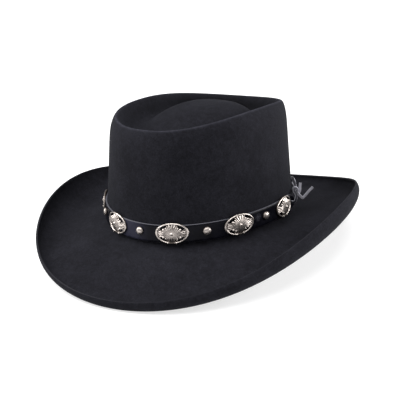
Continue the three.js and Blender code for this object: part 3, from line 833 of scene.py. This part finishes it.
class HatFeltBody(bpy.types.Operator):
    """Models the crown and brim as one piece of felt"""

    bl_idname = "hat.felt_body"
    bl_label = "Felt body"

    def execute(self, context):
        settings = context.scene.hat_felt
        count = settings.columns
        lines = [through(felt_rows(i / count * TURN), ROWS_PER_SPAN) for i in range(count)]
        lines = [[set_down(point) for point in line] for line in lines]
        rows = [(row,) for row in range(len(lines[0]))]
        felt = sweep_rings("felt_crown_and_brim", count, lambda column, row: lines[column][row], rows)
        middle = sum((line[0] for line in lines), Vector()) / count
        bpy.ops.object.mode_set(mode="EDIT")
        select_points(felt, [line[0] for line in lines])
        bpy.ops.mesh.fill_grid(span=count // 4)
        bpy.ops.object.mode_set(mode="OBJECT")
        face_up(felt, middle)
        felt.data.materials.append(wool_felt(settings))
        felt.data.materials.append(felt_cut_edge())
        crease = {f"edge_crease_{side}": WALL_CREASE for side in ("rim", "outer", "inner")}
        apply_modifier(felt, "SOLIDIFY", thickness=settings.wall, offset=-1.0, material_offset_rim=1, **crease)
        apply_modifier(felt, "SUBSURF", levels=1, render_levels=1)
        for point in felt.data.vertices:
            point.co.z = max(point.co.z, 0.0)
        # Lines of the lip's crest and of the cut edge, for the painted highlight and the painted shade
        crest = [line[ROWS_PER_SPAN * len(CROWN_TOP)] for line in lines]
        self.paint_crest_highlight_and_hollow_shade(felt, crest, [line[-1] for line in lines])
        smooth(felt)
        hand_over(felt, ["felt_body"])
        return {"FINISHED"}

    def paint_crest_highlight_and_hollow_shade(self, felt, lip, edge):
        """Paints light into the felt's colour: a highlight along the crest of the lip, and shade in the hollows
        inside lip and edge.

        The painted shade lies behind the lip at the back, and in the curl at the wearer's left.
        """
        lines = []
        for line in (lip, edge):
            tree = kdtree.KDTree(len(line))
            for number, place in enumerate(line):
                tree.insert(place, number)
            tree.balance()
            lines.append((line, tree))
        values = []
        for point in felt.data.vertices:
            value = 0.0
            for (line, tree), (dark, middle, spread) in zip(lines, (LIP_PAINTED_SHADE, EDGE_PAINTED_SHADE)):
                _, number, _ = tree.find(point.co)
                near = [line[(number + k) % len(line)] for k in (-1, 0, 1)]
                away = min(distance_to(point.co, a, b) for a, b in zip(near, near[1:])) / MM
                # Painted highlight along the lip's crest
                if line is lip:
                    value += math.exp(-((away / PAINTED_CREST_HIGHLIGHT_WIDTH) ** 2))
                # Painted shade inside the line, only towards the back of the lip and the wearer's left of the edge
                foot = line[number].xy
                if (point.co.xy - foot).dot(foot) < 0:
                    side = max(0.0, (foot.x if line is edge else foot.y) / foot.length)
                    value -= dark * side * math.exp(-(((away - middle) / spread) ** 2))
            values.append(value)
        add_values(felt, "crest", values)


# Leather strap


# Section of the strap: share of its half width up, millimetres added to that, distance out from its back
STRAP_SECTION = [
    (-1.0, 0.0, 0.25),
    (-1.0, 0.0, 1.25),
    (-1.0, 0.22, 1.66),
    (-1.0, 0.62, 1.9),
    (-1.0, 2.2, 1.9),
    (0.0, 0.0, 1.9),
    (1.0, -2.2, 1.9),
    (1.0, -0.62, 1.9),
    (1.0, -0.22, 1.66),
    (1.0, 0.0, 1.25),
    (1.0, 0.0, 0.25),
    (1.0, -0.25, 0.0),
    (0.0, 0.0, 0.0),
    (-1.0, 0.25, 0.0),
]
# Columns of the section that start a face of the cut edge
STRAP_EDGES = (0, 1, 8, 9, 10, 13)
STRAP_SHARP_ANGLE = 35
DRILL_SIDES = 24

# How strongly the wax shines, as the specular level of the strap's and of the thong's leather
STRAP_GLOSS = 0.09
THONG_GLOSS = 0.3

# Marks on the strap: a scuff of wear, and a painted sheen, a paler bluish patch that stands in for a reflection.
# Each has its place as arc length from the front, height on the band and distance out of the felt, then reach in
# millimetres, colour, and whether it is broken up into scratches
SCUFF_AND_PAINTED_SHEEN = [
    ((CENTRE_CONCHO_ARC + 1.5 * CONCHO_PITCH - 9.6, 1.6, 2.2), 4.8, "#5a5a64", True),
    # Painted sheen: a paler bluish patch that stands in for a reflection on the strap
    ((CENTRE_CONCHO_ARC - 0.72 * CONCHO_PITCH, -3.0, 2.2), 26.0, "#262633", False),
]


class HatLeatherBand(bpy.types.Operator):
    """Models the leather strap with its rounded ends and thong holes"""

    bl_idname = "hat.leather_band"
    bl_label = "Leather band"

    def execute(self, context):
        settings = context.scene.hat_leather
        half = BAND_WIDTH / 2
        stations = [(STRAP_START_ARC + along * half, width) for along, width in STRAP_END]
        first, last = STRAP_START_ARC + half, STRAP_END_ARC - half
        for step in range(1, settings.segments):
            stations.append((first + (last - first) * step / settings.segments, 1.0))
        stations += [(STRAP_END_ARC - along * half, width) for along, width in reversed(STRAP_END)]

        def place(column, arc, width):
            side, inset, out = STRAP_SECTION[column]
            up = (side * half + inset) * width
            return set_down(on_band(arc, up, BAND_CLEARANCE + end_lift(arc) + out))

        ends = (stations[0], stations[-1])
        strap = sweep_rings("leather_strap", len(STRAP_SECTION), place, stations, ends)
        face_out(strap)
        # The scuff and the painted sheen, placed on the strap
        scuff_and_painted_sheen = [(set_down(on_band(*spot)), *mark) for spot, *mark in SCUFF_AND_PAINTED_SHEEN]
        grain = top_grain_leather("leather_top_grain", settings.hide, settings.grain, STRAP_GLOSS, scuff_and_painted_sheen)
        strap.data.materials.append(grain)
        strap.data.materials.append(leather_cut_edge("leather_cut_edge", settings.edge))
        mark_edges(strap, len(STRAP_SECTION), STRAP_EDGES)
        for arc in (STRAP_START_ARC + THONG_HOLE_INSET, STRAP_END_ARC - THONG_HOLE_INSET):
            self.pierce(strap, arc)
        smooth(strap, STRAP_SHARP_ANGLE)
        hand_over(strap, ["hat_band"])
        return {"FINISHED"}

    def pierce(self, strap, arc):
        """Drills a thong hole through the strap."""
        a = set_down(on_band(arc, 0, 0))
        b = set_down(on_band(arc, 0, BAND_LIFT + 2 * BAND_WALL))
        begin()
        bpy.ops.mesh.primitive_cylinder_add(
            vertices=DRILL_SIDES,
            radius=THONG_HOLE * MM,
            depth=(b - a).length,
            location=(a + b) / 2,
            rotation=(b - a).to_track_quat("Z", "Y").to_euler(),
        )
        drill = bpy.context.object
        apply_modifier(strap, "BOOLEAN", object=drill, operation="DIFFERENCE", solver="EXACT")
        bpy.data.objects.remove(drill)


# Conchos and studs


# Rings of a concho: share of its oval, height in millimetres
CONCHO_RIM = [
    (0.99, 0.0),
    (1.0, 0.45),
    (0.995, 0.85),
    (0.98, 1.15),
    (0.954, 1.38),
    (0.924, 1.46),
    (0.894, 1.38),
    (0.872, 1.18),
    (0.858, 0.96),
    (0.842, 0.92),
]
CONCHO_DOME = [
    (0.825, 0.98),
    (0.795, 1.14),
    (0.76, 1.38),
    (0.72, 1.6),
    (0.67, 1.84),
    (0.62, 2.04),
    (0.57, 2.22),
    (0.52, 2.37),
    (0.46, 2.52),
    (0.4, 2.64),
    (0.33, 2.75),
    (0.26, 2.82),
    (0.18, 2.88),
    (0.1, 2.9),
]
CONCHO_COLUMNS = 216
CONCHO_BACK = 0.9
# How deep under its face a concho still has the face's relief, and how near two shares of its oval are the same
FACE_DEPTH = 0.3
SAME_SHARE = 1e-4
# Edges up to this angle, in degrees, are shaded smooth
METAL_SHARP_ANGLE = 50

# Openings, in degrees from the long axis and shares of the oval, and the fingers that reach into them: angle,
# share of the oval, radius of the ball at the end
OPENING_FROM, OPENING_TO = 26.0, 67.0
OPENING_OUTER, OPENING_INNER = 0.86, 0.56
FINGERS = [(37.0, 0.61, 1.15), (56.0, 0.6, 0.9)]
FINGER_HALF_ANGLE = 3.0
FINGER_BALL_HEIGHT = 1.6
BOSS_RADIUS, BOSS_HEIGHT, BOSS_SEGMENTS = 1.5, 2.6, 32
BALL_SEGMENTS = 14

# Break in the rim: half its width, how deep it is, the height it sinks to, and the balls at its ends
RIM_FROM = 0.833
RIM_BREAK, RIM_BREAK_DEPTH, RIM_BREAK_FOOT = 3.4, 0.55, 0.5
RIM_BALL_RADIUS, RIM_BALL_GAP, RIM_BALL_SHARE, RIM_BALL_HEIGHT = 0.8, 0.5, 0.915, 1.0

# Flutes: where they start and reach full depth as shares of the oval, and their depth before that
FLUTE_START, FLUTE_RISE = 0.15, 0.25
FLUTE_FULL_START, FLUTE_FULL_RISE = 0.42, 0.26
FLUTE_FIRST_DEPTH = 0.15

# Relief of the metal, from 0 for the dark patina to 1 for rubbed bright; pairs are the least and the rise
PLATE_RUBBED = 0.5
RIM_RUBBED, RIM_RUBBED_START, RIM_RUBBED_RISE, RIM_BREAK_DULL = 0.62, 0.8, 0.4, 0.6
RIB_RUBBED = (0.06, 0.74)
BALL_RUBBED = (0.38, 0.36)
STUD_RUBBED = (0.16, 0.4)

# Rings of a stud: share of its radius, share of its height
STUD_PROFILE = [
    (0.97, 0.0),
    (1.0, 0.08),
    (1.0, 0.2),
    (0.97, 0.34),
    (0.9, 0.52),
    (0.79, 0.69),
    (0.65, 0.82),
    (0.48, 0.92),
    (0.3, 0.975),
    (0.13, 0.997),
]
STUD_COLUMNS = 40


def concho_height(share, height, angle, flutes, depth):
    """Height of a concho's face with its flutes and the break in its rim, and how rubbed it is."""
    if share > RIM_FROM:
        across = abs(CONCHO_HALF_LENGTH * share * math.cos(angle))
        dip = max(0.0, 1 - (across / RIM_BREAK) ** 4) if math.sin(angle) < 0 else 0.0
        drop = RIM_BREAK_DEPTH * dip * max(0.0, height - RIM_BREAK_FOOT) if share < 1 else 0.0
        rubbed = RIM_RUBBED * ramp(height, RIM_RUBBED_START, RIM_RUBBED_RISE)
        return height - drop, rubbed * (1 - RIM_BREAK_DULL * dip)
    rib = 0.5 + 0.5 * math.cos(flutes * angle)
    deep = ramp(share, FLUTE_FULL_START, FLUTE_FULL_RISE)
    depth *= (FLUTE_FIRST_DEPTH + (1 - FLUTE_FIRST_DEPTH) * deep) * ramp(share, FLUTE_START, FLUTE_RISE)
    plain = PLATE_RUBBED + 0.5 * (rib - 0.5)
    return height - depth * (1 - rib), plain * (1 - deep) + (RIB_RUBBED[0] + RIB_RUBBED[1] * rib) * deep


def concho_plan(share, angle):
    """Place in plan on a concho, from its share of the oval and its angle."""
    return CONCHO_HALF_LENGTH * share * math.cos(angle), CONCHO_HALF_HEIGHT * share * math.sin(angle)


def concho_share(x, y):
    """Share of the oval and angle of a place on a concho."""
    along, up = x / CONCHO_HALF_LENGTH, y / CONCHO_HALF_HEIGHT
    return math.hypot(along, up), math.atan2(up, along)


def copy_to_strap(model, kind, arcs):
    """Copies a flat model to arcs of the strap, each copy with a mesh of its own, and removes the model."""
    for number, arc in enumerate(arcs, 1):
        piece = model.copy()
        piece.data = model.data.copy()
        bpy.context.scene.collection.objects.link(piece)
        piece.name = piece.data.name = f"silver_{kind}_{number}"
        for point in piece.data.vertices:
            x, y, z = point.co / MM
            point.co = set_down(on_band(arc + x, METAL_RISE + y, OVER_STRAP + z))
        smooth(piece, METAL_SHARP_ANGLE)
        hand_over(piece, [f"{kind}_{number}"])
    bpy.data.objects.remove(model)


class HatConchos(bpy.types.Operator):
    """Models one pierced oval concho and copies it round the strap"""

    bl_idname = "hat.conchos"
    bl_label = "Conchos"

    def execute(self, context):
        settings = context.scene.hat_silver
        model = self.model(settings)
        model.data.materials.append(antique_silver(settings))
        places = [number - CENTRE_CONCHO for number in range(CONCHO_COUNT)]
        copy_to_strap(model, "concho", [CENTRE_CONCHO_ARC + place * CONCHO_PITCH for place in places])
        return {"FINISHED"}

    def model(self, settings):
        """One flat laid concho: rim, fluted dome, four openings with fingers, balls and boss."""
        depth = settings.flute_depth / MM
        rows = CONCHO_RIM + CONCHO_DOME

        def place(column, share, height):
            angle = column / CONCHO_COLUMNS * TURN
            z, _ = concho_height(share, height, angle, settings.flutes, depth)
            return Vector((*concho_plan(share, angle), z)) * MM

        plate = sweep_rings("concho_model", CONCHO_COLUMNS, place, rows, rows[-1:])
        face_up(plate, Vector((0, 0, rows[-1][1] * MM)))
        self.open_quarters(plate)
        apply_modifier(plate, "SOLIDIFY", thickness=CONCHO_BACK * MM, offset=-1.0)
        for point in plate.data.vertices:
            point.co.z = max(point.co.z, 0.0)
        balls = [self.ball(BOSS_RADIUS, (0, 0, BOSS_HEIGHT), BOSS_SEGMENTS)]
        for quarter in range(4):
            for finger, share, radius in FINGERS:
                angle = math.radians(finger if quarter % 2 == 0 else 180 - finger) + math.pi * (quarter // 2)
                balls.append(self.ball(radius, (*concho_plan(share, angle), FINGER_BALL_HEIGHT)))
        for side in (-1, 1):
            x, y = side * (RIM_BREAK + RIM_BALL_GAP), -CONCHO_HALF_HEIGHT * RIM_BALL_SHARE
            balls.append(self.ball(RIM_BALL_RADIUS, (x, y, RIM_BALL_HEIGHT)))
        heights = sorted(rows)
        values = []
        for point in plate.data.vertices:
            x, y, z = point.co / MM
            share, angle = concho_share(x, y)
            height = next((h for s, h in heights if s >= share - SAME_SHARE), 1.0)
            top, rubbed = concho_height(share, height, angle, settings.flutes, depth)
            values.append(rubbed if z > top - FACE_DEPTH else 0.0)
        add_values(plate, "relief", values)
        return join([plate, *balls], "concho_model")

    def open_quarters(self, plate):
        """Cuts the four openings, and leaves the fingers in them."""
        take(plate)
        bpy.ops.object.mode_set(mode="EDIT")
        bpy.ops.mesh.select_mode(type="FACE")
        bpy.ops.mesh.select_all(action="DESELECT")
        cage = bmesh.from_edit_mesh(plate.data)
        for face in cage.faces:
            middle = face.calc_center_median() / MM
            share, angle = concho_share(middle.x, middle.y)
            folded = math.degrees(angle) % 180
            folded = min(folded, 180 - folded)
            inside = OPENING_FROM < folded < OPENING_TO and OPENING_INNER < share < OPENING_OUTER
            finger = any(share < end and abs(folded - f) < FINGER_HALF_ANGLE for f, end, _ in FINGERS)
            face.select = inside and not finger
        bmesh.update_edit_mesh(plate.data)
        bpy.ops.mesh.delete(type="FACE")
        bpy.ops.object.mode_set(mode="OBJECT")

    def ball(self, radius, place, segments=BALL_SEGMENTS):
        """A small cast ball, rubbed bright."""
        begin()
        bpy.ops.mesh.primitive_uv_sphere_add(segments=segments, ring_count=segments // 2, radius=radius * MM)
        ball = bpy.context.object
        bpy.ops.object.mode_set(mode="EDIT")
        bpy.ops.transform.translate(value=Vector(place) * MM)
        bpy.ops.object.mode_set(mode="OBJECT")
        least, rise = BALL_RUBBED
        add_values(
            ball, "relief", [least + rise * ramp(p.co.z / MM, place[2], radius) for p in ball.data.vertices]
        )
        return ball


class HatStuds(bpy.types.Operator):
    """Models one half round stud and copies it between the conchos"""

    bl_idname = "hat.studs"
    bl_label = "Studs"

    def execute(self, context):
        def place(column, out, rise):
            angle = column / STUD_COLUMNS * TURN
            reach = STUD_RADIUS * out
            return Vector((reach * math.cos(angle), reach * math.sin(angle), STUD_HEIGHT * rise)) * MM

        model = sweep_rings("stud_model", STUD_COLUMNS, place, STUD_PROFILE, (STUD_PROFILE[-1], STUD_PROFILE[0]))
        face_out(model)
        least, rise = STUD_RUBBED
        add_values(
            model, "relief", [least + rise * ramp(p.co.z, 0, STUD_HEIGHT * MM) for p in model.data.vertices]
        )
        model.data.materials.append(bpy.data.materials["antique_silver_plate"])
        places = [number + 0.5 - CENTRE_CONCHO for number in range(CONCHO_COUNT - 1)]
        copy_to_strap(model, "stud", [CENTRE_CONCHO_ARC + place * CONCHO_PITCH for place in places])
        return {"FINISHED"}


# Thong


# Section of the thong: shares of half its width and half its wall
THONG_SECTION = [
    (-1.0, -0.45),
    (-0.85, -1.0),
    (0.0, -1.0),
    (0.85, -1.0),
    (1.0, -0.45),
    (1.0, 0.45),
    (0.85, 1.0),
    (0.0, 1.0),
    (-0.85, 1.0),
    (-1.0, 0.45),
]
# Columns of the section that start a face of a cut edge
THONG_EDGES = (0, 3, 4, 5, 8, 9)
# Runs that show the rough side of the leather; the others show the dyed grain, whose dark colour on the near run
# is also painted shade
THONG_FLESH = ("tail_up", "tail_out")
THONG_STEPS = 6
THONG_SHARP_ANGLE = 40

# Knot: how often the thong is wound, over what length along the strap, how far out, and how wide and thick it is
# where it is pulled tight
KNOT_TURNS, KNOT_STEPS = 2, 40
KNOT_LENGTH = 4.2
KNOT_REACH, KNOT_SWAY, KNOT_STRETCH = 2.35, 0.25, 1.1
KNOT_STRIP = (2.4, 1.2)


class HatThong(bpy.types.Operator):
    """Models the leather thong that ties the strap, with its knot and two tails"""

    bl_idname = "hat.thong"
    bl_label = "Thong"

    def execute(self, context):
        settings = context.scene.hat_leather
        grain = top_grain_leather("leather_thong_grain", settings.lace, settings.grain, THONG_GLOSS)
        flesh = leather_cut_edge("leather_thong_flesh", settings.flesh)
        edge = leather_cut_edge("leather_thong_edge", settings.flesh)
        parts = []
        for name, rows in THONG_RUNS.items():
            sign = -1 if name.startswith("far") else 1
            end = STRAP_START_ARC if sign < 0 else STRAP_END_ARC
            stops = [on_band(end + sign * along, up, out) for along, up, out in rows]
            part = self.strip(f"thong_{name}", through(stops, THONG_STEPS), Vector((0, 0, 1)))
            # The dark grain colour is real on the far runs and painted shade on the near run
            part.data.materials.append(flesh if name in THONG_FLESH else grain)
            parts.append(part)
        parts.append(self.knot())
        parts[-1].data.materials.append(flesh)
        for part in parts:
            part.data.materials.append(edge)
            mark_edges(part, len(THONG_SECTION), THONG_EDGES)
        thong = join(parts, "leather_thong")
        face_out(thong)
        smooth(thong, THONG_SHARP_ANGLE)
        hand_over(thong, ["tie_thong"])
        return {"FINISHED"}

    def strip(self, name, path, across, width=THONG_WIDTH, wall=THONG_WALL):
        """Flat thong swept along a path, its width carried along without a twist."""
        rows = []
        for i, centre in enumerate(path):
            tangent = (path[min(i + 1, len(path) - 1)] - path[max(i - 1, 0)]).normalized()
            across = (across - tangent * across.dot(tangent)).normalized()
            rows.append((centre, across, across.cross(tangent)))

        def place(column, centre, side, over):
            along, up = THONG_SECTION[column]
            return set_down(centre + side * (along * width / 2) + over * (up * wall / 2))

        return sweep_rings(name, len(THONG_SECTION), place, rows, (rows[0], rows[-1]))

    def knot(self):
        """The thong wound twice round its own runs, a plainer knot than the real one."""
        centre = on_band(STRAP_END_ARC + KNOT_ALONG, KNOT_UP, KNOT_OUT)
        outward = Vector((centre.x, centre.y, 0)).normalized()
        along = Vector((-outward.y, outward.x, 0))
        path = []
        for step in range(KNOT_STEPS + 1):
            turn = step / KNOT_STEPS * KNOT_TURNS * TURN
            reach = KNOT_REACH + KNOT_SWAY * math.cos(turn / 2)
            out, up = reach * math.cos(turn), reach * KNOT_STRETCH * math.sin(turn)
            lean = (step / KNOT_STEPS - 0.5) * KNOT_LENGTH
            path.append(centre + outward * out + Vector((0, 0, up)) + along * lean)
        return self.strip("thong_knot", path, along, *KNOT_STRIP)


# Stage


# Camera of the photograph, in the frame of the band: angles in degrees, distance in millimetres
VIEW_AZIMUTH = 31.36
VIEW_ELEVATION = 17.09
VIEW_ROLL = -1.53
VIEW_DISTANCE = 975.0
VIEW_SCALE = 0.995
VIEW_CENTRE = (200.68, 198.2)
IMAGE_SIDE = 400

# Stage in metres: the floor, the height that the soft boxes look at, and the place and side of each soft box
FLOOR_SIDE = 16.0
AIM_HEIGHT = 0.07
SOFT_BOXES = {
    "key": ((-0.5, -0.8, 1.6), 0.28),
    "left": ((-1.2, -0.55, 0.8), 0.8),
    "right": ((1.3, 0.5, 0.45), 0.9),
    "back": ((1.0, 1.0, 0.5), 0.5),
}
# Broad light from above: where it shines, and how wide it is seen from the hat, in degrees
WASH_AIM = (0.05, 0.2, -1.0)
WASH_ANGLE = 60.0


class HatStage(bpy.types.Operator):
    """Makes the floor, the soft studio light and the camera"""

    bl_idname = "hat.stage"
    bl_label = "Stage"

    def execute(self, context):
        settings = context.scene.hat_stage
        begin()
        bpy.ops.mesh.primitive_plane_add(size=FLOOR_SIDE, location=(0, 0, 0))
        floor = bpy.context.object
        floor.name = "studio_floor"
        floor.data.materials.append(studio_floor(settings))
        for name, (place, size) in SOFT_BOXES.items():
            aim = Vector((0, 0, AIM_HEIGHT)) - Vector(place)
            lamp = self.light(f"{name}_light", "AREA", getattr(settings, name), aim, shape="SQUARE", size=size)
            lamp.location = place
        self.light("wash_light", "SUN", settings.wash, Vector(WASH_AIM), angle=math.radians(WASH_ANGLE))
        world = bpy.data.worlds.new("studio_sky")
        world.use_nodes = True
        sky = world.node_tree.nodes["Background"]
        sky.inputs["Color"].default_value = linear("#fbfbfd")
        sky.inputs["Strength"].default_value = settings.sky
        context.scene.world = world
        context.scene.view_settings.view_transform = "Standard"
        self.camera(context)
        return {"FINISHED"}

    def light(self, name, kind, power, aim, **shape):
        """Adds a light that shines along a direction."""
        data = bpy.data.lights.new(name, kind)
        data.energy = power
        for key, value in shape.items():
            setattr(data, key, value)
        lamp = bpy.data.objects.new(name, data)
        lamp.rotation_euler = aim.to_track_quat("-Z", "Y").to_euler()
        bpy.context.scene.collection.objects.link(lamp)
        return lamp

    def camera(self, context):
        """Camera where the photograph's camera stood."""
        a, e, r = (math.radians(v) for v in (VIEW_AZIMUTH, VIEW_ELEVATION, VIEW_ROLL))
        back = Vector((math.sin(a) * math.cos(e), -math.cos(a) * math.cos(e), math.sin(e)))
        right = Vector((math.cos(a), math.sin(a), 0))
        up = back.cross(right)
        rolled_right = right * math.cos(r) + up * math.sin(r)
        rolled_up = -right * math.sin(r) + up * math.cos(r)
        turn = SET_DOWN.to_3x3()
        axes = Matrix((turn @ rolled_right, turn @ rolled_up, turn @ back)).transposed()
        data = bpy.data.cameras.new("photo_camera")
        data.sensor_width = 36.0
        data.lens = VIEW_SCALE * VIEW_DISTANCE / IMAGE_SIDE * data.sensor_width
        data.shift_x = (IMAGE_SIDE / 2 - VIEW_CENTRE[0]) / IMAGE_SIDE
        data.shift_y = (VIEW_CENTRE[1] - IMAGE_SIDE / 2) / IMAGE_SIDE
        data.clip_start = 0.01
        data.clip_end = 50.0
        camera = bpy.data.objects.new("photo_camera", data)
        context.scene.collection.objects.link(camera)
        camera.matrix_world = Matrix.Translation(set_down(back * VIEW_DISTANCE)) @ axes.to_4x4()
        context.scene.camera = camera


# Add-on


STEPS = (
    ("felt_body", "Felt body"),
    ("leather_band", "Leather band"),
    ("conchos", "Conchos"),
    ("studs", "Studs"),
    ("thong", "Thong"),
    ("stage", "Stage"),
)


class HatPanel(bpy.types.Panel):
    """Settings and steps of the hat"""

    bl_idname = "VIEW3D_PT_hat"
    bl_label = "Gambler hat"
    bl_space_type = "VIEW_3D"
    bl_region_type = "UI"
    bl_category = "Hat"

    def draw(self, context):
        layout = self.layout
        for group in ("hat_felt", "hat_leather", "hat_silver", "hat_stage"):
            settings = getattr(context.scene, group)
            box = layout.box()
            for name in settings.__annotations__:
                box.prop(settings, name)
        for step, label in STEPS:
            layout.operator(f"hat.{step}", text=label)


SETTINGS = {
    "hat_felt": HatFeltSettings,
    "hat_leather": HatLeatherSettings,
    "hat_silver": HatSilverSettings,
    "hat_stage": HatStageSettings,
}
OPERATORS = (HatFeltBody, HatLeatherBand, HatConchos, HatStuds, HatThong, HatStage)
CLASSES = (*SETTINGS.values(), *OPERATORS, HatPanel)


def register():
    """Adds the classes and the settings of the hat."""
    for item in CLASSES:
        bpy.utils.register_class(item)
    for name, group in SETTINGS.items():
        setattr(bpy.types.Scene, name, bpy.props.PointerProperty(type=group))


def unregister():
    """Takes the classes and the settings away again."""
    for name in SETTINGS:
        delattr(bpy.types.Scene, name)
    for item in reversed(CLASSES):
        bpy.utils.unregister_class(item)


def main():
    """Makes the whole hat and its stage."""
    register()
    for step, _ in STEPS:
        getattr(bpy.ops.hat, step)()


if __name__ == "__main__":
    main()
